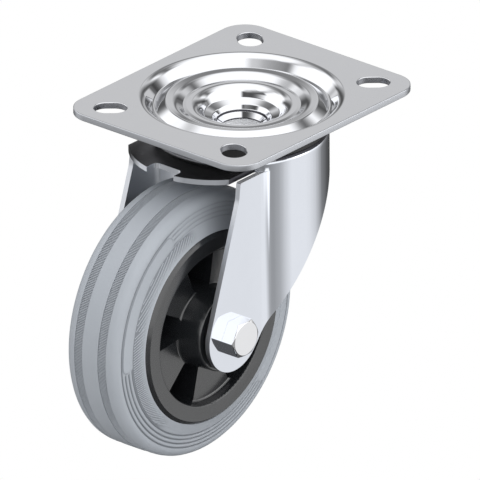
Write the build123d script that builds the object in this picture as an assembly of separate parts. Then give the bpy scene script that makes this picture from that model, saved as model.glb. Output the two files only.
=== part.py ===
from build123d import *
import os
from math import acos, atan2, cos, degrees, hypot, pi, radians, sin

# Swivel castor: pressed top plate, pressed fork, and a tyred wheel on a bolt axle.
# Millimetres. The origin is on the swivel axis, at the plate's top face. +Z is up, the
# axle lies along Y, and the wheel trails towards -X. "Near" is the -Y side.

# Leading sizes
wheel_radius = 50.0
wheel_width = 32.0
wheel_drop = 25.0  # plate's top face to the top of the tyre
trail = 35.0  # axle to the swivel axis
sheet = 2.0  # fork and lower race
leg_gap = 48.0  # between the fork legs

# Top plate
plate_length = 100.0
plate_width = 85.0
plate_thickness = 2.5
plate_corner = 10.0
slot_row_length = 80.0  # between the outer ends of the slots, along X
slot_row_width = 60.0  # and along Y
slot_width = 9.0
slot_travel = 3.0  # between the centres of a slot's two end arcs
roll_width = 1.75  # rolled edge of the dish
roll_drop = 0.5
roll_bend = 5.25
dish_bend = 0.5  # radius of the small bends on the dish's top
under_bend = 1.0  # and under it
dish_slope = 5.2  # width of the dish's outer wall
groove_outer = 1.6  # level bottom outside the dome over the balls
groove_inner = 0.6  # and inside it
step_slope = 1.9  # inner step of the dish
step_rise = 0.9
step_width = 3.0
shelf_drop = 3.55  # shelf round the kingpin, below the step
shelf_width = 2.3
neck_drop = 3.15  # kingpin's lip, below the shelf
neck_draft = 0.9

# Swivel head
ball_diameter = 6.0
ball_play = 0.05  # round each ball in its tracks
upper_pitch = 26.3  # radius of the row's centre line
lower_pitch = 17.8
upper_count = 26
lower_count = 18
head_drop = 9.0  # plate's top face to the centres of the upper balls
plate_track = 1.35  # depth of the track pressed into the plate
track = 0.65  # depth of the tracks in the fork and the lower race
hole_margin = 2.8  # fork's hole inside the lower pitch
cup_clearance = 1.1  # between the plate's cup and that hole
cup_reach = 1.9  # cup below the top of the crown
cup_slope = 1.5  # width of its sloping wall
cup_shoulder = 1.2  # height of that wall above the crown
cup_flare = 1.0
kingpin_radius = 9.0
kingpin_wall = 1.5
kingpin_lip = 0.8  # how far the flared top stands out
lip_height = 1.2
lip_edge = 0.35
cone_drop = 1.9  # depth of the cone inside the flared top
bore_relief = 0.4
kingpin_foot = 2.0  # how far the riveted foot stands out
foot_height = 2.0
race_neck = 3.5  # lower race's neck inside the lower pitch
race_shoulder = 2.3  # depth of the slope at its top
race_slope = 1.85  # and its width
race_ledge = 2.8  # its level floor outside the lower pitch
race_lip = 1.6  # height of its turned-up rim
race_lip_width = 1.2

# Fork
crown_margin = 5.2  # crown's wall outside the upper pitch
crown_bend = 3.0  # outer radius of the bend round the crown
crown_height = 2.9  # top of the crown to the front flange
leg_step = 2.2  # front flange to the top of the legs
skirt_height = 10.6  # top of the crown to the skirt's rear edge
skirt_bend = 9.0  # where the flat legs run into the round skirt
skirt_reach = 25.8  # rear corner of the skirt, behind the swivel axis; the axle is ahead of it
skirt_corner = 8.0
leg_end = 14.0  # radius round the axle
leg_front = 31.4  # front corner of each leg, ahead of the swivel axis
leg_brow = 32.3  # where its front edge starts to slope back to the axle
leg_brow_drop = 7.1
leg_brow_bend = 12.0
leg_corner = 0.8
flange_reach = 46.2
flange_radius = 31.2  # of its front edge
flange_slit = 0.3  # between the flange and each leg
foot_reach = 1.7  # width of the hollow blend at the foot of the crown
notch_width = 12.6
notch_depth = 5.8
notch_corner = 2.0

# Tyre
tyre_thickness = 13.5
tyre_crown = 0.3  # fall of the tread towards its edges
band_fall = 0.1  # and at the outer edge of each band
tread_edge = 3.2  # tread's edge, inside the tyre's foot on each side
tread_corner = 3.5
shoulder_depth = 4.75  # below the tread
shoulder_inset = 0.6
waist_height = 4.5  # narrowest place, above the rim
waist_hollow = 2.2  # and inside the tyre's foot on each side
waist_bend = 8.0
band_inner = 7.2  # between the two recessed bands
band_width = 3.8
band_depth = 0.45

# Rim
rim_shelf = 1.2  # rim's face outside the tyre's foot
rim_chamfer = 1.35
barrel = 7.1  # thickness of the outer ring at its face
barrel_draft = 0.2
key_height = 2.5  # ridge under the tyre that locks it
key_width = 18.0
web_recess = 4.0  # rim's face to the flats of the web
web_floor = 2.5  # thickness of the flats
web_wall = 2.2  # thickness of the radial walls
web_cells = 5  # pockets on each side
web_turn = 132.2  # direction of one near flat, degrees
near_half = 16.0  # half angle of each near pocket, degrees
pocket_corner = 1.5
rim_round = 0.6
web_round = 1.0
hub_radius = 14.8
hub_draft = 0.5
hub_gap = 2.0  # hub's end to the leg

# Roller bearing
sleeve_radius = 10.0
sleeve_wall = 1.0
roller_diameter = 2.92
roller_play = 0.04  # between each roller and what it runs on
roller_length = 32.0
roller_count = 10
roller_chamfer = 0.2
cage_end = 3.0  # length of each end ring
cage_gap = 0.3  # inside and outside the cage
pocket_play = 0.06
cap_radius = 12.0
cap_depth = 2.0
cap_play = 0.3  # round the axle tube

# Axle
washer_radius = 9.0
washer_play = 0.1  # hub cap to washer
washer_bore_play = 0.15  # round the axle tube
tube_play = 0.15  # between the axle tube and the bolt
bolt_diameter = 8.0
hole_play = 0.2  # round the bolt in each leg
hex_width = 13.0
head_height = 5.5
hex_rim = 6.2  # radius where the hexagon's chamfer meets its end face
hex_chamfer = 0.75
nut_hex = 5.6
nut_collar = 2.4
collar_wall = 0.7
insert_height = 1.8
insert_wall = 1.2
insert_cover = 0.6  # collar's rolled lip over the insert
bolt_end = 1.5  # bolt standing out of the nut
bolt_chamfer = 0.8

# Levels and radii that follow
axle_drop = wheel_drop + wheel_radius
ball_radius = ball_diameter / 2
track_radius = ball_radius + ball_play
upper_level = -head_drop
dome_radius = track_radius + plate_thickness
plate_under = upper_level + track_radius - plate_track
groove_level = plate_under + plate_thickness
step_level = groove_level + step_rise
shelf_level = step_level - shelf_drop
lip_level = shelf_level - neck_drop
lip_radius = kingpin_radius + kingpin_lip
crown_top = upper_level - track_radius + track
crown_under = crown_top - sheet
crown_radius = upper_pitch + crown_margin
cup_bottom = crown_top - cup_reach
fork_hole = lower_pitch - hole_margin
cup_radius = fork_hole - cup_clearance
lower_level = crown_under + track - track_radius
race_top = lower_level - track_radius + track
race_under = lower_level - track_radius - sheet
flange_top = crown_top - crown_height
flange_under = flange_top - sheet
leg_top = flange_top - leg_step
skirt_level = crown_top - skirt_height
leg_inner = leg_gap / 2
leg_outer = leg_inner + sheet
hub_end = leg_inner - hub_gap
rim_face = wheel_width / 2
rim_radius = wheel_radius - tyre_thickness
rim_inner = rim_radius - barrel
tyre_foot = rim_face - rim_shelf
web_face = rim_face - web_recess
cap_seat = hub_end - cap_depth
sleeve_bore = sleeve_radius - sleeve_wall
tube_radius = sleeve_bore - roller_diameter - 2 * roller_play
roller_pitch = tube_radius + roller_play + roller_diameter / 2
bolt_radius = bolt_diameter / 2
axle = Pos(-trail, 0, -axle_drop) * Rot(90, 0, 0)  # its own Z points to the near side


def turned(corners):
    """Solid of revolution about Z, from corners given as (radius, height, fillet)."""
    points = [corner[:2] for corner in corners]
    fillets = [corner[2] if len(corner) > 2 else 0 for corner in corners]
    outline = FilletPolyline(*points, radius=fillets, close=True)
    return revolve(make_face(Plane.XZ * outline), Axis.Z)


def both_ends(corners):
    """A section's upper half, followed by its mirror image below."""
    return corners + [(corner[0], -corner[1], *corner[2:]) for corner in reversed(corners)]


def ring(outer, inner, low, high):
    return turned([(inner, low), (outer, low), (outer, high), (inner, high)])


def raceway(pitch, level):
    return Pos(0, 0, level) * Torus(pitch, track_radius)


def ball_row(count, pitch, level):
    ball = Pos(pitch, 0, level) * Sphere(ball_radius)
    return [Rot(0, 0, i * 360 / count) * ball for i in range(count)]


def top_plate():
    """Flat plate with four slots, and a ribbed dish over the upper ball track."""
    row_x, row_y = slot_row_length / 2, slot_row_width / 2
    middle = 1 - slot_travel / 2 / hypot(row_x, row_y)
    turn = degrees(atan2(row_y, row_x))
    blank = RectangleRounded(plate_length, plate_width, plate_corner)
    for x in (-1, 1):
        for y in (-1, 1):
            place = Pos(x * row_x * middle, y * row_y * middle) * Rot(0, 0, x * y * turn)
            blank -= place * SlotOverall(slot_travel + slot_width, slot_width)

    dome_half = (dome_radius**2 - (groove_level - upper_level) ** 2) ** 0.5
    groove_edge = upper_pitch + dome_half + groove_outer
    brow = groove_edge + dish_slope
    dish_edge = brow + roll_width
    step_edge = upper_pitch - dome_half - groove_inner
    step_outer = step_edge - step_slope
    shelf_inner = lip_radius + neck_draft
    shelf_outer = shelf_inner + shelf_width
    dish_rim = dish_edge + roll_width
    blank -= Circle(dish_rim)
    flat = Pos(0, 0, -plate_thickness) * extrude(blank, plate_thickness)
    dish = turned(
        [
            (dish_rim, 0),
            (dish_edge, 0, roll_bend),
            (brow, -roll_drop, dish_bend),
            (groove_edge, groove_level, dish_bend),
            (step_edge, groove_level, dish_bend),
            (step_outer, step_level, dish_bend),
            (step_outer - step_width, step_level, dish_bend),
            (shelf_outer, shelf_level, dish_bend),
            (shelf_inner, shelf_level, dish_bend),
            (lip_radius, lip_level),
            (kingpin_radius, lip_level - lip_height),
            (kingpin_radius, cup_bottom),
            (cup_radius - cup_slope, cup_bottom, under_bend / 2),
            (cup_radius + cup_flare, crown_top + cup_shoulder, under_bend),
            (step_edge - plate_thickness, plate_under, under_bend),
            (groove_edge + under_bend, plate_under, under_bend),
            (dish_edge, -plate_thickness, under_bend),
            (dish_rim, -plate_thickness),
        ]
    )
    dome = ring(upper_pitch + dome_half, upper_pitch - dome_half, plate_under, 0)
    dome &= Pos(0, 0, upper_level) * Torus(upper_pitch, dome_radius)
    return flat + dish + dome - raceway(upper_pitch, upper_level)


def kingpin():
    """Hollow rivet: flared over the dish, and headed over under the lower race."""
    bore = kingpin_radius - kingpin_wall
    seat = cup_bottom - sheet
    foot = seat - foot_height
    return turned(
        [
            (lip_radius, lip_level),
            (lip_radius - lip_edge, lip_level),
            (bore, lip_level - cone_drop),
            (bore + bore_relief, lip_level - cone_drop - bore_relief),
            (bore + bore_relief, foot, bore_relief),
            (kingpin_radius + kingpin_foot, foot, kingpin_foot / 2),
            (kingpin_radius + kingpin_foot, seat),
            (kingpin_radius, seat),
            (kingpin_radius, lip_level - lip_height),
        ]
    )


def lower_race():
    """Pressed cup under the crown, held against the plate's own cup by the kingpin."""
    neck = lower_pitch - race_neck
    ledge = lower_pitch + race_ledge
    lip = ledge + race_lip_width
    lip_length = hypot(race_lip_width, race_lip)
    lip_outer = lip + sheet * race_lip / lip_length
    lip_under = race_top + race_lip - sheet * race_lip_width / lip_length
    bend = sheet / 2
    cup = turned(
        [
            (kingpin_radius, cup_bottom),
            (neck - race_slope, cup_bottom, bend / 2),
            (neck, cup_bottom - race_shoulder, bend),
            (neck, race_top, bend / 2),
            (ledge, race_top, bend / 2),
            (lip, race_top + race_lip, bend / 4),
            (lip_outer, lip_under, bend / 4),
            (ledge + bend / 2, race_under, sheet),
            (neck - bend, race_under, sheet),
            (neck - sheet, cup_bottom - race_shoulder - bend / 2, bend),
            (neck - sheet - bend, cup_bottom - sheet),
            (kingpin_radius, cup_bottom - sheet),
        ]
    )
    return cup - raceway(lower_pitch, lower_level)


def leg_tangent(x, z, side):
    """Where a straight edge from (x, z) runs onto the leg's round end, above (1) or below (-1)."""
    run, rise = x + trail, z + axle_drop
    turn = atan2(rise, run) + side * acos(leg_end / hypot(run, rise))
    return leg_end * cos(turn) - trail, leg_end * sin(turn) - axle_drop


def leg_outline():
    """Side view of the fork, in X and Z: the crown's height above, legs and skirt below."""
    back = crown_radius + sheet
    brow_level = leg_top - leg_brow_drop
    corners = [
        (-leg_front, leg_top),
        (-leg_brow, brow_level),
        leg_tangent(-leg_brow, brow_level, 1),
        leg_tangent(skirt_reach, skirt_level, -1),
        (skirt_reach, skirt_level),
        (back, skirt_level),
        (back, leg_top),
    ]
    bends = [leg_corner, leg_brow_bend, 0, 0, skirt_corner, 0, 0]
    panel = FilletPolyline(*corners, radius=bends, close=True)
    head = Pos(0, leg_top / 2) * Rectangle(2 * back, -leg_top)
    return make_face(panel) + Pos(-trail, -axle_drop) * Circle(leg_end) + head


def fork_form(inset):
    """The fork's outer face as a solid, or its inner face at an inset of one sheet."""
    radius = crown_radius - inset
    top = crown_top - inset
    low = -axle_drop - leg_end
    plan = Circle(radius) + Pos(-trail, 0) * Rectangle(2 * trail, 2 * (leg_outer - inset))
    corners = plan.vertices().filter_by(lambda corner: corner.X > -radius)
    plan = fillet(corners, skirt_bend + inset)
    head = turned([(0, top), (radius, top, crown_bend - inset), (radius, leg_top), (0, leg_top)])
    return head + Pos(0, 0, low) * extrude(plan, leg_top - low)


def front_flange():
    """Level flange ahead of the crown, with a notched round edge and a hollow foot."""
    half = leg_inner - flange_slit
    root = crown_radius - sheet / 2
    plan = Pos(flange_radius - flange_reach, 0) * Circle(flange_radius)
    plan &= Pos(-flange_reach, 0) * Rectangle(2 * flange_reach, 2 * half)
    plan -= Pos(-flange_reach, 0) * RectangleRounded(2 * notch_depth, notch_width, notch_corner)
    plan -= Circle(root)

    bend_x, bend_z = crown_radius - crown_bend, crown_top - crown_bend
    run = crown_radius + foot_reach - bend_x
    rise = flange_top - bend_z
    hollow = (run**2 + rise**2 - crown_bend**2) / (crown_bend - rise) / 2
    centre_x, centre_z = bend_x + run, flange_top + hollow
    share = crown_bend / (crown_bend + hollow)
    meet_x, meet_z = bend_x + share * run, bend_z + share * (centre_z - bend_z)
    start = degrees(atan2(meet_z - centre_z, meet_x - centre_x)) % 360
    arc = CenterArc((centre_x, centre_z), hollow, start, 270 - start)
    edge = Polyline(arc @ 0, (root, meet_z), (root, flange_top), arc @ 1)
    foot = revolve(make_face(Plane.XZ * (arc + edge)), Axis.Z)
    foot &= Pos(0, 0, flange_under) * extrude(plan, crown_height + sheet)
    return foot + Pos(0, 0, flange_under) * extrude(plan, sheet)


def fork():
    """One pressed sheet: crown, flange, legs and skirt, with ball tracks and holes."""
    body = fork_form(0) - fork_form(sheet)
    body &= extrude(Plane.XZ * leg_outline(), crown_radius + sheet, both=True)
    body -= ring(fork_hole, 0, flange_under, 0)
    body += front_flange()
    body -= raceway(upper_pitch, upper_level)
    body -= raceway(lower_pitch, lower_level)
    return body - axle * Cylinder(bolt_radius + hole_play, 2 * leg_outer + sheet)


def tyre():
    """Crowned rubber ring with two recessed bands, a hollow flank and a keyed seat."""
    band_outer = band_inner / 2 + band_width
    edge = tyre_foot - tread_edge
    waist = tyre_foot - waist_hollow
    upper = [
        (rim_radius + key_height, key_width / 2),
        (rim_radius, key_width / 2),
        (rim_radius, tyre_foot),
        (rim_radius + waist_height, waist, waist_bend),
        (wheel_radius - shoulder_depth, waist - shoulder_inset),
        (wheel_radius - tyre_crown, edge, tread_corner),
        (wheel_radius - band_fall, band_outer),
        (wheel_radius - band_depth, band_outer),
        (wheel_radius - band_depth, band_inner / 2),
        (wheel_radius, band_inner / 2),
    ]
    return axle * turned(both_ends(upper))


def polar(radius, turn):
    return radius * cos(radians(turn)), radius * sin(radians(turn))


def web_pocket(middle, half):
    """Plan of one pocket: a piece of the ring between hub and barrel, with round corners."""
    reach = 2 * rim_inner
    wedge = Polyline((0, 0), polar(reach, middle - half), polar(reach, middle + half), close=True)
    space = Circle(rim_inner - barrel_draft) - Circle(hub_radius + hub_draft)
    space &= make_face(wedge)
    return fillet(space.vertices(), pocket_corner)


def rim():
    """Moulded wheel centre: barrel, long hub and a zigzag web, open in turn to each side."""
    upper = [
        (sleeve_radius, cap_seat),
        (cap_radius, cap_seat),
        (cap_radius, hub_end),
        (hub_radius, hub_end, rim_round),
        (hub_radius + hub_draft, web_face, web_round),
        (rim_inner - barrel_draft, web_face, web_round),
        (rim_inner, rim_face, rim_round),
        (rim_radius - rim_chamfer, rim_face),
        (rim_radius, tyre_foot),
        (rim_radius, key_width / 2),
        (rim_radius + key_height, key_width / 2),
    ]
    body = turned(both_ends(upper))
    middle_radius = (hub_radius + rim_inner) / 2
    half_cell = 180 / web_cells
    far_half = half_cell - near_half - degrees(web_wall / middle_radius)
    floor = web_face - web_floor
    for i in range(web_cells):
        flat_turn = web_turn + 2 * half_cell * i
        near = extrude(web_pocket(flat_turn + half_cell, near_half), floor + rim_face)
        far = extrude(web_pocket(flat_turn, far_half), floor + rim_face)
        body -= Pos(0, 0, -floor) * near
        body -= Pos(0, 0, -rim_face) * far
    return axle * body


def bearing_sleeve():
    return axle * ring(sleeve_radius, sleeve_bore, -cap_seat, cap_seat)


def roller_places():
    return [Rot(0, 0, i * 360 / roller_count) * Pos(roller_pitch, 0) for i in range(roller_count)]


def roller_cage():
    """Plastic cage: two end rings joined by bars between the rollers."""
    pocket_length = roller_length + 2 * pocket_play
    reach = pocket_length / 2 + cage_end
    cage = ring(sleeve_bore - cage_gap, tube_radius + cage_gap, -reach, reach)
    pocket = Cylinder(roller_diameter / 2 + pocket_play, pocket_length)
    for place in roller_places():
        cage -= place * pocket
    return axle * cage


def rollers():
    """Steel rollers that run on the axle tube, inside the sleeve."""
    blank = Cylinder(roller_diameter / 2, roller_length)
    roller = chamfer(blank.edges().filter_by(GeomType.CIRCLE), roller_chamfer)
    return [axle * place * roller for place in roller_places()]


def axle_tube():
    return axle * ring(tube_radius, bolt_radius + tube_play, -leg_inner, leg_inner)


def on_side(side, shape):
    """Turns a shape made at the near end (1) of the axle to its own end, and seats it."""
    return axle * Rot(90 - 90 * side, 0, 0) * shape


def hub_cap(side):
    """Plastic ring in the hub's end that keeps the roller cage in."""
    return on_side(side, ring(cap_radius, tube_radius + cap_play, cap_seat, hub_end))


def thrust_washer(side):
    """Plastic washer on the axle tube, against the leg."""
    bore = tube_radius + washer_bore_play
    return on_side(side, ring(washer_radius, bore, hub_end + washer_play, leg_inner))


def hexagon(height):
    """Hexagonal prism on the XY plane, with the corners of its upper end chamfered."""
    corner = hex_width / 2 / cos(pi / 6)
    reach = corner + sheet
    fall = hex_chamfer * (reach - hex_rim) / (corner - hex_rim)
    cone = turned([(0, 0), (reach, 0), (reach, height - fall), (hex_rim, height), (0, height)])
    return extrude(RegularPolygon(corner, 6), height) & cone


def axle_bolt():
    """Hexagon head bolt through both legs and the axle tube."""
    tip = -leg_outer - nut_hex - nut_collar - bolt_end
    shank = turned(
        [
            (0, tip),
            (bolt_radius - bolt_chamfer, tip),
            (bolt_radius, tip + bolt_chamfer),
            (bolt_radius, leg_outer),
            (0, leg_outer),
        ]
    )
    return on_side(1, shank + Pos(0, 0, leg_outer) * hexagon(head_height))


def lock_nut():
    """Hexagon nut with a round collar, whose lip is rolled over the plastic insert."""
    insert_radius = bolt_radius + insert_wall
    top = nut_hex + nut_collar
    lip = top - collar_wall
    nut = hexagon(nut_hex) + ring(insert_radius + collar_wall, 0, 0, top)
    nut -= ring(bolt_radius, 0, 0, lip)
    nut -= ring(insert_radius, 0, lip - insert_height, lip)
    nut -= ring(insert_radius - insert_cover, 0, lip, top)
    return on_side(-1, Pos(0, 0, leg_outer) * nut)


def nut_insert():
    """Plastic ring inside the nut's collar that grips the thread."""
    lip = leg_outer + nut_hex + nut_collar - collar_wall
    return on_side(-1, ring(bolt_radius + insert_wall, bolt_radius, lip - insert_height, lip))


nodes = {
    "top_plate": top_plate(),
    "kingpin": kingpin(),
    "lower_race": lower_race(),
    "lower_balls": Compound(ball_row(lower_count, lower_pitch, lower_level)),
    "fork": fork(),
    "tyre": tyre(),
    "rim": rim(),
    "bearing_sleeve": bearing_sleeve(),
    "roller_cage": roller_cage(),
    "axle_tube": axle_tube(),
    "hub_cap_near": hub_cap(1),
    "hub_cap_far": hub_cap(-1),
    "thrust_washer_near": thrust_washer(1),
    "thrust_washer_far": thrust_washer(-1),
    "axle_bolt": axle_bolt(),
    "lock_nut": lock_nut(),
    "nut_insert": nut_insert(),
}
for number, ball in enumerate(ball_row(upper_count, upper_pitch, upper_level), 1):
    nodes[f"upper_ball_{number:02}"] = ball
for number, roller in enumerate(rollers(), 1):
    nodes[f"roller_{number:02}"] = roller

os.makedirs("parts", exist_ok=True)
for name, shape in nodes.items():
    export_step(shape, f"parts/{name}.step")
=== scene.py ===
from math import acos, atan2, cos, degrees, exp, hypot, pi, radians, sin, sqrt, tan, tau

import bmesh
import bpy
from mathutils import Matrix, Vector


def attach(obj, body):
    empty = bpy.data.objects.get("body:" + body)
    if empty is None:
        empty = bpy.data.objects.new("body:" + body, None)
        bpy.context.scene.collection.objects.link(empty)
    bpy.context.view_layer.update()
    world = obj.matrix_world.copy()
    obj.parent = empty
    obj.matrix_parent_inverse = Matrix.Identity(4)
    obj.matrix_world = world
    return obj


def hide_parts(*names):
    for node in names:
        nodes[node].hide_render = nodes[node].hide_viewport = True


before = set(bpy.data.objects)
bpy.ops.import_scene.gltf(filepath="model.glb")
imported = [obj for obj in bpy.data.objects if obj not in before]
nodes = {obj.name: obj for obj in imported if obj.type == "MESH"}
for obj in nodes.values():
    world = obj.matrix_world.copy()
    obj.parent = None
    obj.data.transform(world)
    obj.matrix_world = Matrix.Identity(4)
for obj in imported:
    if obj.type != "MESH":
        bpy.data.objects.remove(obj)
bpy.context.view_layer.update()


# ---------------------------------------------------------------- Top plate
# A 2.5 mm steel sheet, blanked with four bolt slots, zinc plated. The ribbed dish in its
# middle is pressed over the upper ball track, and the kingpin clamps it to the head.

mm = 0.001
plate_length, plate_width, plate_thickness = 100.0, 85.0, 2.5
plate_corner = 10.0
slot_row_length, slot_row_width = 80.0, 60.0  # of bolts at the outer ends of the slots
slot_radius, slot_travel = 4.5, 3.0
slot_lean = 49.0  # degrees between a slot and the plate's length
sheet_edge = 0.3  # the small rounding that blanking and plating leave on an edge
head_turns = 240  # steps round the swivel axis

# The dish seen from above, from its rim inwards.
dish_rim, dish_edge, roll_bend = 40.23, 35.9, 4.4
groove_edge, groove_level = 31.8, -4.45
dome_outer, dome_level = 27.5, -1.6
dome_inner, dome_inner_level = 24.2, -2.05
step_edge, step_edge_level = 21.25, -3.67
step_outer, step_inner, step_level = 19.8, 16.2, -3.47
shelf_outer, shelf_inner, shelf_level, shelf_fall = 13.7, 10.5, -7.3, 1.0
lip_radius, lip_level, lip_depth = 9.4, -9.8, 1.2
kingpin_radius = 9.0

# The dish seen from below, from the kingpin outwards.
cup_radius, cup_bottom = 12.4, -13.3
cup_shoulder, cup_shoulder_level = 14.9, -10.2
cup_top, plate_under = 19.57, -7.3
ball_pitch, ball_level, track_radius = 26.3, -9.0, 3.05
under_edge, under_rim = 32.53, 38.48


class Wire:
    """A shader socket that takes part in ordinary arithmetic."""

    def __init__(self, finish, socket):
        self.finish, self.socket = finish, socket

    def math(self, operation, *values):
        sockets = dict(enumerate(values))
        return self.finish.add("ShaderNodeMath", {"operation": operation}, sockets)

    def __add__(self, other):
        return self.math("ADD", self, other)

    def __radd__(self, other):
        return self.math("ADD", other, self)

    def __sub__(self, other):
        return self.math("SUBTRACT", self, other)

    def __rsub__(self, other):
        return self.math("SUBTRACT", other, self)

    def __mul__(self, other):
        return self.math("MULTIPLY", self, other)

    def __rmul__(self, other):
        return self.math("MULTIPLY", other, self)

    def __truediv__(self, other):
        return self.math("DIVIDE", self, other)

    def __rtruediv__(self, other):
        return self.math("DIVIDE", other, self)


class Finish:
    """A material, or the world, whose nodes are added one call at a time."""

    def __init__(self, owner):
        owner.use_nodes = True
        self.owner, self.tree = owner, owner.node_tree
        self.tree.nodes.clear()

    def add(self, kind, settings, sockets, output=0):
        """Adds a node, sets and wires it up, and returns one of its outputs."""
        node = self.tree.nodes.new(kind)
        for name, value in settings.items():
            if name == "stops":
                ramp = node.color_ramp.elements
                while len(ramp) < len(value):
                    ramp.new(1.0)
                for stop, (place, shade) in zip(ramp, value):
                    stop.position = place
                    stop.color = (shade, shade, shade, 1)
            else:
                setattr(node, name, value)
        for name, value in sockets.items():
            if isinstance(value, Wire):
                self.tree.links.new(value.socket, node.inputs[name])
            else:
                node.inputs[name].default_value = value
        return Wire(self, node.outputs[output]) if node.outputs else node

    def noise(self, scale, detail):
        """Cloudy noise through the piece, from 0 to 1. A high scale makes it fine."""
        place = self.add("ShaderNodeTexCoord", {}, {}, "Object")
        sockets = {"Vector": place, "Scale": scale, "Detail": detail}
        return self.add("ShaderNodeTexNoise", {}, sockets)

    def mix(self, factor, a, b):
        """A colour between a and b, each of which is a wire, a grey or three parts."""
        ends = []
        for end in (a, b):
            if isinstance(end, float):
                end = (end, end, end)
            ends.append(end if isinstance(end, Wire) else (*end, 1))
        sockets = {"Factor": factor, "A": ends[0], "B": ends[1]}
        return self.add("ShaderNodeMix", {"data_type": "RGBA"}, sockets, 2)


def coat(finish, sockets, bump=None, bump_depth=0.0):
    """Ends a finish in one Principled shader. The bump's depth is in metres."""
    if bump is not None:
        height = {"Height": bump, "Strength": 1.0, "Distance": bump_depth}
        sockets["Normal"] = finish.add("ShaderNodeBump", {}, height)
    surface = finish.add("ShaderNodeBsdfPrincipled", {}, sockets)
    finish.add("ShaderNodeOutputMaterial", {}, {"Surface": surface})
    return finish.owner


def zinc(name, colour, roughness, cloud, metal=1.0):
    """Bright zinc plating: a clean metal whose gloss clouds a little from place to place."""
    finish = Finish(bpy.data.materials.new(name))
    clouds, grain = finish.noise(120.0, 4.0), finish.noise(2600.0, 2.0)
    tone = finish.mix(clouds, [c * 0.97 for c in colour], colour)
    gloss = roughness + cloud * (clouds + 0.4 * grain - 0.7)
    return coat(finish, {"Base Color": tone, "Metallic": metal, "Roughness": gloss})


def arc(centre, radius, start, end, steps):
    """Points along an arc, with angles in degrees."""
    turns = [radians(start + (end - start) * i / steps) for i in range(steps + 1)]
    return [(centre[0] + radius * cos(t), centre[1] + radius * sin(t)) for t in turns]


def rounded(corners, closed=True, steps=6):
    """A path through corners given as (across, up, fillet), with the fillets as arcs."""
    path, count = [], len(corners)
    for i, corner in enumerate(corners):
        here = Vector(corner[:2])
        fillet = corner[2] if len(corner) > 2 else 0
        if not fillet or (not closed and i in (0, count - 1)):
            path.append(tuple(here))
            continue
        to_last = (Vector(corners[i - 1][:2]) - here).normalized()
        to_next = (Vector(corners[(i + 1) % count][:2]) - here).normalized()
        half = acos(max(-1, min(1, to_last.dot(to_next)))) / 2
        centre = here + (to_last + to_next).normalized() * fillet / sin(half)
        first = here + to_last * fillet / tan(half) - centre
        last = here + to_next * fillet / tan(half) - centre
        start = atan2(first.y, first.x)
        sweep = (atan2(last.y, last.x) - start + pi) % tau - pi
        count_here = max(2, round(steps * abs(sweep) / (pi / 2)))
        path += arc(centre, fillet, degrees(start), degrees(start + sweep), count_here)
    return path


def held(path, margin, closed=True):
    """Adds a point near both ends of each long straight run, which keeps its shading flat."""
    result = []
    last = len(path) if closed else len(path) - 1
    for i in range(last):
        a, b = Vector(path[i]), Vector(path[(i + 1) % len(path)])
        result.append(tuple(a))
        if (b - a).length > 4 * margin:
            run = (b - a).normalized() * margin
            result += [tuple(a + run), tuple(b - run)]
    return result if closed else result + [path[-1]]


def swept(mesh, path, turns, closed=True):
    """Adds a path of (radius, height), swept round Z, to a bmesh, and returns its rings."""
    rings = []
    for i in range(turns):
        c, s = cos(tau * i / turns), sin(tau * i / turns)
        rings.append([mesh.verts.new((r * c, r * s, z)) for r, z in path])
    for i in range(turns):
        a, b = rings[i], rings[(i + 1) % turns]
        for j in range(len(path) if closed else len(path) - 1):
            k = (j + 1) % len(path)
            mesh.faces.new((a[j], b[j], b[k], a[k]))
    return rings


def placed(name, data):
    """Puts a mesh into the scene, at the origin."""
    piece = bpy.data.objects.new(name, data)
    bpy.context.scene.collection.objects.link(piece)
    return piece


def skinned(name, mesh, material, sharp):
    """Ends a bmesh as a piece with smooth faces, parted at edges over sharp degrees."""
    data = bpy.data.meshes.new(name)
    mesh.to_mesh(data)
    mesh.free()
    data.shade_smooth()
    data.set_sharp_from_angle(angle=radians(sharp))
    data.materials.append(material)
    return placed(name, data)


def finished(name, mesh, material, place, sharp=35.0):
    """Welds a bmesh, turns its faces outwards, seats it by a matrix and makes it a piece."""
    bmesh.ops.remove_doubles(mesh, verts=mesh.verts, dist=1e-4)
    bmesh.ops.dissolve_degenerate(mesh, dist=1e-5, edges=mesh.edges)
    bmesh.ops.recalc_face_normals(mesh, faces=mesh.faces)
    bmesh.ops.transform(mesh, matrix=place, verts=mesh.verts)
    return skinned(name, mesh, material, sharp)


def fitted(piece, body, slot, *replaced):
    """Seats a finished piece on its body, in the place of the CAD nodes it stands for."""
    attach(piece, body)
    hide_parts(*replaced)


def edge_rings(steps=4):
    """Rounded edge of a sheet, from its top face to its underside, as (inset, level)."""
    turns = [pi / 2 * i / steps for i in range(steps + 1)]
    top = [(sheet_edge * (1 - sin(t)), -sheet_edge * (1 - cos(t))) for t in turns]
    under = [(inset, -plate_thickness - level) for inset, level in reversed(top)]
    hold = sheet_edge + 0.25  # keeps the flat's shading off the rounding
    return [(hold, 0)] + top + under + [(hold, -plate_thickness)]


def plate_loop(inset, steps=16):
    """Outline of the plate at an inset."""
    x, y = plate_length / 2 - inset, plate_width / 2 - inset
    corner = plate_corner - inset
    corners = [(x, -y, corner), (x, y, corner), (-x, y, corner), (-x, -y, corner)]
    return rounded(corners, steps=steps)


def slot_loop(x, y, inset, steps=20):
    """Outline of the slot in one corner, x and y being 1 or -1."""
    row_x, row_y = slot_row_length / 2, slot_row_width / 2
    middle = 1 - slot_travel / 2 / hypot(row_x, row_y)
    centre = Vector((x * row_x * middle, y * row_y * middle))
    along = Vector((x * cos(radians(slot_lean)), y * sin(radians(slot_lean))))
    turn = degrees(atan2(along.y, along.x))
    ends = []
    for side in (1, -1):
        at = centre + along * side * slot_travel / 2
        start = turn + (-90 if side > 0 else 90)
        ends += arc(at, slot_radius + inset, start, start + 180, steps)
    return ends


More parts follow.
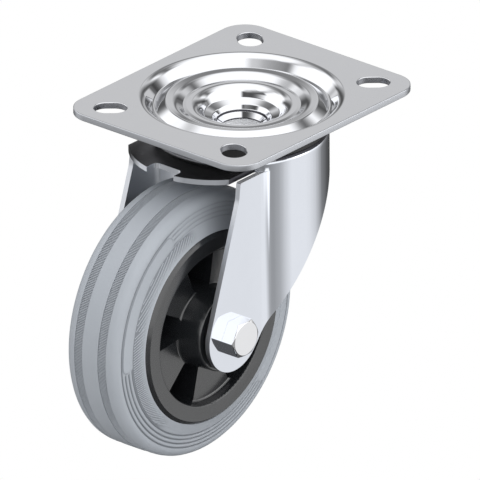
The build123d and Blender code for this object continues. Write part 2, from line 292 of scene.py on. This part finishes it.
zinc_plate = zinc("zinc_plate", (0.93, 0.941, 0.974), 0.035, 0.02)

plate = bmesh.new()
loops = [plate_loop]
for x, y in ((-1, -1), (-1, 1), (1, -1), (1, 1)):
    loops.append(lambda inset, x=x, y=y: slot_loop(x, y, inset))
top_edges, under_edges = [], []
for loop in loops:
    rings = []
    for inset, level in edge_rings():
        rings.append([plate.verts.new((x, y, level)) for x, y in loop(inset)])
    for a, b in zip(rings, rings[1:]):
        for i in range(len(a)):
            j = (i + 1) % len(a)
            plate.faces.new((a[i], a[j], b[j], b[i]))
    for ring, edges in ((rings[0], top_edges), (rings[-1], under_edges)):
        edges += [plate.edges.get(pair) for pair in zip(ring, ring[1:] + ring[:1])]

track_half = sqrt(track_radius**2 - (plate_under - ball_level) ** 2)
track_turn = degrees(atan2(plate_under - ball_level, track_half))
dish_top = rounded([
    (dish_rim, 0),
    (dish_edge, 0, roll_bend),
    (groove_edge, groove_level, 1.0),
    (dome_outer, dome_level, 1.3),
    (dome_inner, dome_inner_level, 5.3),
    (step_edge, step_edge_level, 0.25),
    (step_outer, step_level, 3.6),
    (step_inner, step_level, 5.2),
    (shelf_outer, shelf_level, 0.8),
    (shelf_inner, shelf_level - shelf_fall, 1.0),
    (lip_radius, lip_level),
    (kingpin_radius, lip_level - lip_depth),
], closed=False, steps=24)
dish_under = rounded([
    (kingpin_radius, cup_bottom),
    (cup_radius, cup_bottom, 0.5),
    (cup_shoulder, cup_shoulder_level, 1.0),
    (cup_top, plate_under, 1.0),
    (ball_pitch - track_half, plate_under),
], closed=False)
dish_under += arc((ball_pitch, ball_level), track_radius, 180 - track_turn, track_turn, 12)
dish_under += rounded([
    (ball_pitch + track_half, plate_under),
    (under_edge, plate_under, 1.0),
    (under_rim, -plate_thickness, 1.0),
    (dish_rim, -plate_thickness),
], closed=False)[1:]
dish = held(dish_top + dish_under, 0.15, closed=False)
rings = swept(plate, dish, head_turns, closed=False)
for i in range(head_turns):
    a, b = rings[i], rings[(i + 1) % head_turns]
    top_edges.append(plate.edges.get((a[0], b[0])))
    under_edges.append(plate.edges.get((a[-1], b[-1])))
for edges in (top_edges, under_edges):
    bmesh.ops.triangle_fill(plate, edges=edges, use_beauty=True, use_dissolve=False)
head_place = Matrix.Diagonal((mm, mm, mm, 1))
pressed = finished("top_plate_pressed", plate, zinc_plate, head_place)
fitted(pressed, "plate", "zinc_plate", "top_plate")


def dressed(piece, material, chosen):
    """Gives another finish to the faces that chosen(middle in mm, normal) picks."""
    piece.data.materials.append(material)
    slot = len(piece.data.materials) - 1
    for face in piece.data.polygons:
        if chosen(face.center / mm, face.normal):
            face.material_index = slot


def in_zone(at, inner=0.0, outer=99.0, low=-99.0, high=99.0):
    """Whether a point lies between two radii and two levels round the swivel axis."""
    return inner <= hypot(at.x, at.y) < outer and low < at.z < high


def by_slot(at):
    """Whether a point outside the dish lies at a slot, and not at the plate's own edge."""
    return abs(at.x) < slot_zone_x and abs(at.y) < slot_zone_y


dish_zone, slot_zone_x, slot_zone_y = 41.0, 46.9, 39.4
zinc_sheared = zinc("zinc_sheared", (0.66, 0.68, 0.72), 0.34, 0.1)  # dulled by the blanking
# a darker, rougher zinc for the slots' walls
zinc_slot_walls = zinc("zinc_slot_walls", (0.42, 0.43, 0.46), 0.4, 0.1)
dressed(pressed, zinc_sheared, lambda at, out: (
    abs(out.z) < 0.97 and in_zone(at, dish_zone) and not by_slot(at)))
dressed(pressed, zinc_slot_walls, lambda at, out: (
    abs(out.z) < 0.3 and in_zone(at, dish_zone) and by_slot(at)))


# ------------------------------------------------------------------ Kingpin
# A hollow steel rivet, zinc plated. Its flared top sits in the plate's dish, and its foot
# is headed over under the lower race, which holds the two ball rows together.

pin_rim, rim_fall = 9.0, 0.85
cone_foot, cone_level = 7.75, -12.6
neck_radius, neck_level = 7.5, -12.75
bore_radius, bore_level = 7.9, -12.9
foot_radius, foot_top, foot_bottom = 11.0, -15.3, -17.3
flare_inner, flare_outer, flare_top, flare_foot = 9.02, 9.35, -9.9, -10.6

pin = bmesh.new()
pin_section = rounded([
    (lip_radius, lip_level),
    (pin_rim, lip_level - rim_fall, 0.3),
    (cone_foot, cone_level, 0.25),
    (neck_radius, neck_level, 0.1),
    (bore_radius, bore_level, 0.1),
    (bore_radius, foot_bottom, 0.4),
    (foot_radius, foot_bottom, 1.0),
    (foot_radius, foot_top, 0.15),
    (kingpin_radius, foot_top),
    (kingpin_radius, lip_level - lip_depth),
])
swept(pin, held(pin_section, 0.12), head_turns)
kingpin = finished("kingpin_riveted", pin, zinc_plate, head_place)
fitted(kingpin, "plate", "zinc_plate", "kingpin")

zinc_bore = zinc("zinc_bore", (0.85, 0.86, 0.88), 0.5, 0.1, 0.0)
# near black zinc, for painted shade
zinc_shaded = zinc("zinc_shaded", (0.07, 0.07, 0.08), 0.3, 0.1)
# painted light: the bore's wall is a pale non-metal, so that it shows light where zinc would
# mirror dark
dressed(kingpin, zinc_bore, lambda at, out: (
    in_zone(at, outer=bore_radius + 0.2, high=cone_level - 0.1)))
dressed(kingpin, zinc_shaded, lambda at, out: (  # the neck, and a line round the flare, painted near black as shade
    in_zone(at, outer=bore_radius + 0.3, low=bore_level - 0.05, high=cone_level + 0.18)
    or in_zone(at, flare_inner, flare_outer, flare_foot, flare_top) and out.z > -0.5))


# ---------------------------------------------------------------- Shade ring
# A black moulded ring that hangs from the plate's underside and covers the upper balls. It
# is painted shade: under the plate, the crown and flange mirror only its black.

shade_ring_inner, shade_ring_outer, shade_ring_lip = 29.6, 30.6, 31.1
shade_ring_top, shade_ring_foot, shade_ring_toe, shade_ring_slope = -7.35, -12.5, 0.5, 1.1


def plastic(name, colour, roughness, shine=0.5, index=1.5):
    """Moulded plastic: one tone that clouds a little, with a fine grain."""
    finish = Finish(bpy.data.materials.new(name))
    clouds, grain = finish.noise(90.0, 4.0), finish.noise(2400.0, 2.0)
    sockets = {
        "Base Color": finish.mix(clouds, [c * 0.9 for c in colour], colour),
        "Roughness": roughness + 0.1 * (clouds - 0.5),
        "Specular IOR Level": shine,
        "IOR": index,
    }
    return coat(finish, sockets, grain, 0.000012)


shade_ring = bmesh.new()
ring_section = rounded([
    (shade_ring_inner, shade_ring_top),
    (shade_ring_outer, shade_ring_top, 0.6),
    (shade_ring_lip, shade_ring_foot, 0.3),
    (shade_ring_outer, shade_ring_foot + shade_ring_toe, 0.2),
    (shade_ring_inner, shade_ring_foot + shade_ring_slope),
])
swept(shade_ring, held(ring_section, 0.2), head_turns)
# near black plastic: the ring's painted shade
shade_ring_plastic = plastic("shade_ring_plastic", (0.012, 0.012, 0.013), 0.4)
shade_ring_piece = finished("shade_ring", shade_ring, shade_ring_plastic, head_place)
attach(shade_ring_piece, "plate")


# --------------------------------------------------- Lower race and ball rows
# The race is a pressed, zinc plated cup under the fork's crown, clamped by the kingpin. The
# hardened steel balls run above and below the crown. They aren't plated, and are painted
# near black as shade.

# near black steel for the balls and the roller bearing: painted shade
bearing_steel = zinc("bearing_steel", (0.035, 0.035, 0.037), 0.4, 0.1)
nodes["lower_race"].material_slots[0].material = zinc_plate
for name in nodes:
    if name.startswith("upper_ball") or name == "lower_balls":
        nodes[name].material_slots[0].material = bearing_steel


# --------------------------------------------------------------------- Fork
# One pressed 2 mm sheet: round crown over the balls, notched front flange, two flat legs
# and a curved skirt behind. Its blanked edges are slightly rounded under bright zinc. The
# crown, the skirt's upper bend and its side walls are painted dark as shade, the legs'
# insides are duller and painted darker as shade, and their cut tops are a dull grey.

# Where the fork's finish and its painted shade change: levels from its crown down, places
# from front to back, and how far out its walls and legs stand.
wall_top, crown_foot, flange_level, bend_level = -13.0, -13.2, -15.0, -15.8
edge_level, leg_top, leg_top_foot = -16.2, -16.4, -16.8
bend_front, crown_back, skirt_front = -10.0, -14.0, -15.0
wall_side, leg_side = 22.0, 24.0


def eased(node, name, material, width, steps=2, turn=40.0, edge=None, cut=None):
    """A copy of a CAD node, welded, whose edges that turn more than turn degrees are eased.

    The easing is width mm wide, and has the finish given as edge, if there is one. A level
    given as cut divides the faces that cross it, so that each part can be dressed apart.
    """
    mesh = bmesh.new()
    mesh.from_mesh(nodes[node].data)
    bmesh.ops.remove_doubles(mesh, verts=mesh.verts, dist=2e-6)
    bmesh.ops.dissolve_limit(
        mesh, angle_limit=radians(0.4), verts=mesh.verts, edges=mesh.edges)
    if cut:
        every = mesh.verts[:] + mesh.edges[:] + mesh.faces[:]
        bmesh.ops.bisect_plane(
            mesh, geom=every, dist=1e-7, plane_co=(0, 0, cut * mm), plane_no=(0, 0, 1))
    piece = skinned(name, mesh, material, turn)
    bevel = piece.modifiers.new("eased", "BEVEL")
    bevel.width, bevel.segments = width * mm, steps
    bevel.limit_method, bevel.angle_limit = "ANGLE", radians(turn)
    bevel.harden_normals = True
    if edge:
        piece.data.materials.append(edge)
        bevel.material = 1
    return piece


zinc_fork = zinc("zinc_fork", (0.885, 0.92, 0.99), 0.035, 0.02)
# the inside zinc is duller, and painted darker as shade
zinc_inside_shade = zinc("zinc_inside_shade", (0.62, 0.65, 0.70), 0.42, 0.1)
# the head zinc is dark: painted shade under the plate
zinc_head_shade = zinc("zinc_head_shade", (0.24, 0.24, 0.25), 0.25, 0.1)
zinc_cut = zinc("zinc_cut", (0.36, 0.365, 0.38), 0.5, 0.1, 0.0)
fork = eased("fork", "fork_pressed", zinc_fork, 0.25, cut=crown_foot)
dressed(fork, zinc_sheared, lambda at, out: (  # the legs' front and back edges
    abs(out.y) < 0.3 and at.z < edge_level and abs(at.y) > leg_side))
dressed(fork, zinc_inside_shade, lambda at, out: (  # what faces inwards: duller, and painted darker as shade
    at.z < flange_level and Vector((max(0, at.x), at.y, 0)).dot(out) < -5))
dressed(fork, zinc_head_shade, lambda at, out: (  # the crown's top and the skirt's upper bend, painted dark as shade
    out.z > 0.02 and at.z > crown_foot
    or out.z > 0.35 and at.z > bend_level and at.x < bend_front))
dressed(fork, zinc_shaded, lambda at, out: (  # the crown's back and the skirt's side walls, painted near black as shade
    out.z > 0.02 and at.z > crown_foot and at.x > crown_back
    or abs(out.y) > 0.97 and abs(at.y) > wall_side
    and leg_top < at.z < wall_top and at.x < skirt_front))
dressed(fork, zinc_cut, lambda at, out: (  # the legs' cut tops
    out.z > 0.6 and leg_top_foot < at.z < leg_top and abs(at.y) > leg_side))
fitted(fork, "fork", "zinc_fork", "fork")


# --------------------------------------------------------------------- Tyre
# Solid blue-grey rubber, moulded over the keyed rim. Two bands of its tread are finely
# ribbed across, shallow rings run round its flanks, and part of each flank is hatched.

# Half of the tyre's section, as radii and half widths, from its seat on the rim outwards.
seat_radius, seat_half = 39.0, 9.0
tyre_bore, tyre_foot = 36.5, 14.8
waist_radius, waist_half = 41.0, 12.6
flank_radius, flank_half = 45.25, 12.0
shoulder_radius, shoulder_half = 49.7, 11.6
band_edge_radius, wheel_radius = 49.9, 50.0
band_inner, band_outer, band_depth = 3.6, 7.4, 0.45
tyre_turns = 540  # steps round the axle
axle_place = Matrix(((mm, 0, 0, -0.035), (0, 0, -mm, 0), (0, mm, 0, -0.075), (0, 0, 0, 1)))

# The relief on each flank. Turns and reaches are in degrees round the axle.
relief_inner, relief_outer, relief_side, relief_step = 40.4, 47.0, 11.0, 0.16
ring_radii, ring_depth, ring_width = (46.1, 44.5, 42.9, 41.3), 0.45, 0.3
faint_turn, faint_share = 75.0, 0.3  # where the rings are shallowest, and how deep they are
pad_radius, pad_half, pad_height = 43.7, 1.95, 0.22
pads = ((150, 35.5), (338, 26), (32, 18))  # middle and reach of the bare name plates
hatch_middle, hatch_half, hatch_pitch, hatch_sink = 39.0, 1.75, 0.85, 0.03
hatch_start, hatch_fan, hatch_end = 98, 165, 236  # it is straight first, and then fans out
band_shade, hatch_shade, pad_shade = 0.7, 0.8, 0.6  # how dark the painted shade in each is


def rubber(name):
    """Grey moulded rubber: dull, faintly mottled and finely pitted, with shade painted into its
    hollows.
    """
    finish = Finish(bpy.data.materials.new(name))
    clouds, grain = finish.noise(60.0, 5.0), finish.noise(1800.0, 2.0)
    hollow = finish.add("ShaderNodeAttribute", {"attribute_name": "hollow"}, {}, "Fac")
    tone = finish.mix(clouds, (0.335, 0.36, 0.395), (0.365, 0.39, 0.425))
    # the hollows' painted shade darkens the tone
    tone = finish.mix(0.85 * hollow, tone, (0.11, 0.12, 0.135))
    sockets = {"Base Color": tone, "Roughness": 0.5 + 0.15 * clouds}
    return coat(finish, sockets, grain, 0.00002)


tyre_rubber = rubber("tyre_rubber")


def pad_gap(radius, turn):
    """Distance in millimetres from the nearest bare name plate, which has round ends."""
    gap = 1e9
    for middle, reach in pads:
        along = abs((turn - middle + 180) % 360 - 180)
        over = max(0, radians(along - reach) * pad_radius + pad_half)
        gap = min(gap, hypot(over, radius - pad_radius) - pad_half)
    return gap


def eased_step(value, low, high):
    """0 below low and 1 above high, with a soft change between them."""
    t = max(0, min(1, (value - low) / (high - low)))
    return t * t * (3 - 2 * t)


def hatch_fade(turn):
    """1 along the hatched band, and 0 at its ends."""
    return eased_step(min((turn - hatch_start) / 9, (hatch_end - turn) / 12), 0, 1)


def relieved(radius, side):
    """Whether a point of the section lies in the part of a flank that carries relief."""
    return relief_inner < radius < relief_outer and abs(side) > relief_side


half = [
    (seat_radius, seat_half),
    (tyre_bore, seat_half),
    (tyre_bore, tyre_foot),
    (waist_radius, waist_half, 8.0),
    (flank_radius, flank_half),
    (shoulder_radius, shoulder_half, 3.5),
    (band_edge_radius, band_outer),
    (band_edge_radius - band_depth, band_outer),
    (wheel_radius - band_depth, band_inner),
    (wheel_radius, band_inner),
]
other = [(c[0], -c[1], *c[2:]) for c in reversed(half)]
outline = held(rounded(half + other), 0.3)
section = []
for here, after in zip(outline, outline[1:] + outline[:1]):
    section.append(here)
    here, after = Vector(here), Vector(after)
    if relieved(*here.lerp(after, 0.5)):
        cuts = int((after - here).length / relief_step)
        section += [tuple(here.lerp(after, (i + 1) / (cuts + 1))) for i in range(cuts)]

tyre = bmesh.new()
hollow = tyre.verts.layers.float.new("hollow")
for i, ring in enumerate(swept(tyre, section, tyre_turns)):
    turn = 360 * i / tyre_turns
    for vertex, (radius, side) in zip(ring, section):
        if relieved(radius, side):
            gap = pad_gap(radius, turn)
            depth = faint_share + (1 - faint_share) * eased_step(abs(turn - faint_turn), 30, 45)
            grooves = [depth * exp(-((radius - r) / ring_width) ** 2) for r in ring_radii]
            groove = grooves[0] + sum(grooves[1:]) * eased_step(gap, 0.4, 1.2)
            lift = pad_height * eased_step(-gap, -0.15, 0.15) - ring_depth * groove
            vertex.co.z += lift if side > 0 else -lift
            # painted shade: darker in the grooves and round the name plates
            border = (1 - eased_step(abs(gap), 0.05, 0.3)) * eased_step(radius, 43, 44)
            vertex[hollow] = min(1, max(pad_shade * border, groove))
        # painted shade in the hatched band and on the floors of the tread bands
        if abs(radius - hatch_middle) < hatch_half + 0.2 and abs(side) > relief_side:
            vertex[hollow] = hatch_shade * hatch_fade(turn)
        in_band = band_inner - 0.01 < abs(side) < band_outer + 0.01
        if in_band and wheel_radius - 1 < radius < shoulder_radius:
            vertex[hollow] = band_shade
moulded = finished("tyre_moulded", tyre, tyre_rubber, axle_place)
fitted(moulded, "wheel", "tyre_rubber", "tyre")


def rib_tree():
    """Turns loose edges into round ribs of a given radius, number of sides and material."""
    tree = bpy.data.node_groups.new("ribs", "GeometryNodeTree")
    face = tree.interface
    inputs = [face.new_socket(name, in_out="INPUT", socket_type=kind) for name, kind in (
        ("Paths", "NodeSocketGeometry"),
        ("Rib radius", "NodeSocketFloat"),
        ("Sides", "NodeSocketInt"),
        ("Rubber", "NodeSocketMaterial"),
    )]
    face.new_socket("Ribs", in_out="OUTPUT", socket_type="NodeSocketGeometry")
    start, end = tree.nodes.new("NodeGroupInput"), tree.nodes.new("NodeGroupOutput")
    line, ring, tube, real, dress = [tree.nodes.new("GeometryNode" + kind) for kind in (
        "MeshToCurve", "CurvePrimitiveCircle", "CurveToMesh", "RealizeInstances", "SetMaterial")]
    for a, b in (
        (start.outputs["Paths"], line.inputs["Mesh"]),
        (start.outputs["Rib radius"], ring.inputs["Radius"]),
        (start.outputs["Sides"], ring.inputs["Resolution"]),
        (start.outputs["Rubber"], dress.inputs["Material"]),
        (line.outputs["Curve"], tube.inputs["Curve"]),
        (ring.outputs["Curve"], tube.inputs["Profile Curve"]),
        (tube.outputs["Mesh"], real.inputs["Geometry"]),
        (real.outputs["Geometry"], dress.inputs["Geometry"]),
        (dress.outputs["Geometry"], end.inputs["Ribs"]),
    ):
        tree.links.new(a, b)
    tube.inputs["Fill Caps"].default_value = True
    return tree, [socket.identifier for socket in inputs[1:]]


ribs, (rib_radius_socket, rib_sides_socket, rib_material_socket) = rib_tree()


def ribbed(name, paths, radius, sides):
    """Grows round ribs along paths of points in the axle's own frame, as one plain mesh."""
    points = [axle_place @ Vector(p) for path in paths for p in path]
    edges, first = [], 0
    for path in paths:
        edges += [(first + i, first + i + 1) for i in range(len(path) - 1)]
        first += len(path)
    lines = bpy.data.meshes.new(name + "_paths")
    lines.from_pydata(points, edges, [])
    carrier = placed(name + "_paths", lines)
    grow = carrier.modifiers.new("ribs", "NODES")
    grow.node_group = ribs
    grow[rib_radius_socket], grow[rib_sides_socket] = radius * mm, sides
    grow[rib_material_socket] = tyre_rubber
    grown = carrier.evaluated_get(bpy.context.evaluated_depsgraph_get())
    data = bpy.data.meshes.new_from_object(grown)
    data.name = name
    bpy.data.objects.remove(carrier)
    return placed(name, data)


rib_count, rib_radius, rib_lift, rib_gap = 520, 0.17, 0.08, 0.05
rib_ring = wheel_radius - band_depth + rib_lift
tread_paths = []
for i in range(rib_count):
    turn = tau * i / rib_count
    for side in (1, -1):
        ends = (side * (band_inner + rib_gap), side * (band_outer - rib_gap))
        tread_paths.append([(rib_ring * cos(turn), rib_ring * sin(turn), u) for u in ends])
tread = ribbed("tread_ribs", tread_paths, rib_radius, 8)
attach(tread, "wheel")

flank = sorted((r, u) for r, u in outline if tyre_bore <= r <= 42 and u > relief_side)


def flank_level(radius):
    """Half width of the smooth flank at a radius."""
    for (r0, u0), (r1, u1) in zip(flank, flank[1:]):
        if r0 <= radius <= r1 and r1 > r0:
            return u0 + (u1 - u0) * (radius - r0) / (r1 - r0)
    return flank[-1][1]


def hatched(points):
    """Keeps the runs of points that lie in the band, and lifts them onto both flanks."""
    runs, run = [], []
    for x, y in points + [(0, 0)]:
        radius, turn = hypot(x, y), degrees(atan2(y, x)) % 360
        if abs(radius - hatch_middle) < hatch_half * hatch_fade(turn):
            run.append((x, y, flank_level(radius) - hatch_sink))
            continue
        if len(run) > 2:
            runs += [run, [(x, y, -u) for x, y, u in run]]
        run = []
    return runs


slant, first_line, line_count = radians(48), 22.0, 60
line_step, line_reach = 0.7, 60  # between its points, and points each way
fan_lean, fan_loss = 52.0, 1.27  # the fan's first lean in degrees, and its loss a degree
late_turn, late_loss = 200.0, 1.2  # from this turn on it loses so much more
hatch_radius = 0.2
hatch_paths = []
for i in range(line_count):
    off = first_line + i * hatch_pitch
    line = []
    for j in range(-line_reach, line_reach + 1):
        x = -off * sin(slant) + j * line_step * cos(slant)
        y = off * cos(slant) + j * line_step * sin(slant)
        if degrees(atan2(y, x)) % 360 < hatch_fan:
            line.append((x, y))
    hatch_paths += hatched(line)
turn = hatch_fan
while turn < hatch_end:
    lean = fan_lean - (turn - hatch_fan) * fan_loss - max(0, turn - late_turn) * late_loss
    line = []
    for i in range(9):
        r = hatch_middle + hatch_half * (i / 4 - 1) * 0.99
        t = radians(turn) + (r - hatch_middle) * tan(radians(lean)) / r
        line.append((r * cos(t), r * sin(t)))
    hatch_paths += hatched(line)
    turn += degrees(hatch_pitch / cos(radians(lean)) / hatch_middle)
hatch = ribbed("flank_hatching", hatch_paths, hatch_radius, 6)
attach(hatch, "wheel")


# ---------------------------------------------------------------------- Rim
# Black moulded plastic: a barrel under the tyre, a long hub and a zigzag web whose pockets
# open in turn to each side. All its edges are moulded round, with a painted highlight on them.

rim_plastic = plastic("rim_plastic", (0.013, 0.0145, 0.0165), 0.22, 1.0, 1.6)
# paler plastic on the rounded edges: a painted highlight
rim_edge_highlight = plastic("rim_edge_highlight", (0.12, 0.12, 0.125), 0.25, 1.0, 1.6)
rim = eased("rim", "rim_moulded", rim_plastic, 0.32, steps=3, edge=rim_edge_highlight)
fitted(rim, "wheel", "rim_plastic", "rim")


# ---------------------------------------------- Roller bearing, caps and washers
# Steel rollers in a plastic cage run between the axle tube and a steel sleeve in the hub.
# Plastic caps in the hub's ends keep them in, and plastic washers part them from the legs.

cage_plastic = plastic("cage_plastic", (0.72, 0.70, 0.62), 0.4)
cap_plastic = plastic("cap_plastic", (0.03, 0.03, 0.032), 0.35)
for name in nodes:
    if name.startswith("roller_") or name in ("bearing_sleeve", "axle_tube"):
        nodes[name].material_slots[0].material = bearing_steel
nodes["roller_cage"].material_slots[0].material = cage_plastic
for name in ("hub_cap_near", "hub_cap_far", "thrust_washer_near", "thrust_washer_far"):
    nodes[name].material_slots[0].material = cap_plastic


# ------------------------------------------------------- Axle bolt and lock nut
# A zinc plated hexagon bolt through both legs and the axle tube, held by a lock nut whose
# plastic ring grips the thread.

zinc_bolt = zinc("zinc_bolt", (0.975, 0.98, 1.0), 0.035, 0.02)
insert_plastic = plastic("insert_plastic", (0.05, 0.12, 0.35), 0.4)
for node in ("axle_bolt", "lock_nut"):
    turned = eased(node, node + "_turned", zinc_bolt, 0.12, turn=20)
    fitted(turned, "fork", "zinc_bolt", node)
nodes["nut_insert"].material_slots[0].material = insert_plastic


# --------------------------------------------------------- Floor, light, camera
# A plain pale floor under the wheel, a studio of soft light and dark panels that the zinc
# mirrors, and the camera. The panels are seen in reflections only.

floor_half, floor_level = 3.0, -0.1252
lens_width, lens_reach = 0.1726, 0.9
shift_right, shift_up = -0.670, -52.160

floor_mesh = bmesh.new()
bmesh.ops.create_grid(floor_mesh, x_segments=1, y_segments=1, size=floor_half)
bmesh.ops.translate(floor_mesh, vec=(0, 0, floor_level), verts=floor_mesh.verts)
floor_finish = Finish(bpy.data.materials.new("pale_floor"))
path = floor_finish.add("ShaderNodeLightPath", {}, {}, "Is Camera Ray")
pale = floor_finish.add("ShaderNodeBsdfDiffuse", {}, {"Color": (0.6, 0.6, 0.6, 1)})
white = floor_finish.add("ShaderNodeEmission", {}, {"Color": (1, 1, 1, 1), "Strength": 1.0})
mixed = floor_finish.add("ShaderNodeMixShader", {}, {0: path, 1: pale, 2: white})
floor_finish.add("ShaderNodeOutputMaterial", {}, {"Surface": mixed})
floor = finished("floor", floor_mesh, floor_finish.owner, Matrix.Identity(4))
floor.visible_glossy = False

sky = Finish(bpy.data.worlds.new("studio"))
bpy.context.scene.world = sky.owner
way = sky.add("ShaderNodeTexCoord", {}, {}, "Generated")
parts = sky.add("ShaderNodeSeparateXYZ", {}, {"Vector": way})
across, along, up = [Wire(sky, parts.socket.node.outputs[i]) for i in range(3)]
turn = along.math("ARCTAN2", along, across) / radians(1)
rise = up.math("ARCSINE", up) / radians(1)


def smooth(value, low, high):
    """0 below low and 1 above high, with a soft change between them."""
    sockets = {"Value": value, "From Min": low, "From Max": high}
    return sky.add("ShaderNodeMapRange", {"interpolation_type": "SMOOTHSTEP"}, sockets)


def panel(middle, reach, low, high, soft):
    """Mask of one soft-edged panel of the studio, by compass turn and rise in degrees."""
    away = turn.math("ABSOLUTE", turn.math("WRAP", turn - middle, 180.0, -180.0))
    sides = 1 - smooth(away, reach - soft, reach + soft)
    foot, head = smooth(rise, low - soft, low + soft), smooth(rise, high - soft, high + soft)
    return sides * foot * (1 - head)


wall_stops = (  # turn, and the shade of the walls there below the horizon
    (-180, 0.32), (-140, 0.34), (-125, 0.28), (-115, 0.2), (-103, 0.29), (-90, 0.43),
    (-80, 0.68), (-72, 0.84), (-48, 0.84), (-40, 0.80), (-28, 0.66), (-18, 0.42), (-10, 0.22),
    (10, 0.09), (20, 0.08), (32, 0.02), (60, 0.02), (80, 0.15), (100, 0.6), (120, 0.6),
    (139, 0.33), (160, 0.45), (180, 0.30),
)
stops = [((at + 180) / 360, shade) for at, shade in wall_stops]
low_walls = sky.add("ShaderNodeValToRGB", {"stops": stops}, {"Fac": (turn + 180.0) / 360.0})
high_walls = 1.15
for middle, reach, low, high, soft, shade in (  # each panel lies over the ones before it
    (182, 39, 34.0, 54.6, 6.3, 0.08),
    (169, 41, 49.5, 65.1, 10.0, 0.54),
    (69, 85, 55.4, 80.0, 4.6, 1.09),
    (26, 49, 30.6, 52.3, 8.0, 0.16),
    (37, 17, 46.0, 65.8, 10.0, 1.09),
    (76, 13, 43.0, 51.3, 7.0, 0.42),
    (-7, 11, 28.7, 38.0, 7.2, 1.15),
    (28, 47, -10.0, 28.8, 5.0, 0.48),
    (-4, 29, 9.8, 23.9, 9.8, 0.01),
    (65, 18, 5.3, 21.4, 6.8, 0.09),
    (41, 11, 26.2, 39.1, 2.2, 0.23),
    (6, 8, -3.0, 14.4, 1.7, 0.59),
    (91, 19, -3.6, 8.9, 6.7, 0.95),
    (134, 55, 51.5, 54.5, 8.4, 0.01),
    (16, 22, 12.2, 17.8, 2.8, 0.14),
    (40, 9, 17, 31, 4, 0.58),
    (-58, 12, 0, 13, 4, 3.0),
):
    high_walls = sky.mix(panel(middle, reach, low, high, soft), high_walls, shade)
studio = sky.mix(smooth(rise, -12.0, 2.0), low_walls, high_walls)
studio = sky.mix(panel(60, 8, -24, 1, 3), studio, 0.03)
studio = sky.mix(1 - smooth(rise, -48.0, -34.0), studio, 0.09)
glossy = sky.add("ShaderNodeLightPath", {}, {}, "Is Glossy Ray")
seen = sky.add("ShaderNodeLightPath", {}, {}, "Is Camera Ray")
overhead = sky.add("ShaderNodeMapRange", {}, {
    "Value": up, "From Min": 0.0, "From Max": 1.0, "To Min": 0.55, "To Max": 2.0})
soft_light = overhead - 0.62 * along + 0.1 * across
shown = sky.mix(seen, sky.mix(glossy, soft_light, studio), 1.0)
background = sky.add("ShaderNodeBackground", {}, {"Color": shown, "Strength": 1.0})
sky.add("ShaderNodeOutputWorld", {}, {"Surface": background})

azimuth, elevation, roll = radians(-49.605), radians(24.442), radians(-0.206)
back = Vector((sin(azimuth) * cos(elevation), -cos(azimuth) * cos(elevation), sin(elevation)))
level = Vector((cos(azimuth), sin(azimuth), 0))
upward = back.cross(level)
right = level * cos(roll) + upward * sin(roll)
top = upward * cos(roll) - level * sin(roll)
lens = bpy.data.cameras.new("camera")
lens.type, lens.ortho_scale = "ORTHO", lens_width
lens.clip_start, lens.clip_end = 0.05, 10.0
camera = bpy.data.objects.new("camera", lens)
place = back * lens_reach + (right * shift_right + top * shift_up) * mm
camera.matrix_world = Matrix.Translation(place) @ Matrix((right, top, back)).transposed().to_4x4()
bpy.context.scene.collection.objects.link(camera)
bpy.context.scene.camera = camera
bpy.context.scene.view_settings.view_transform = "Standard"
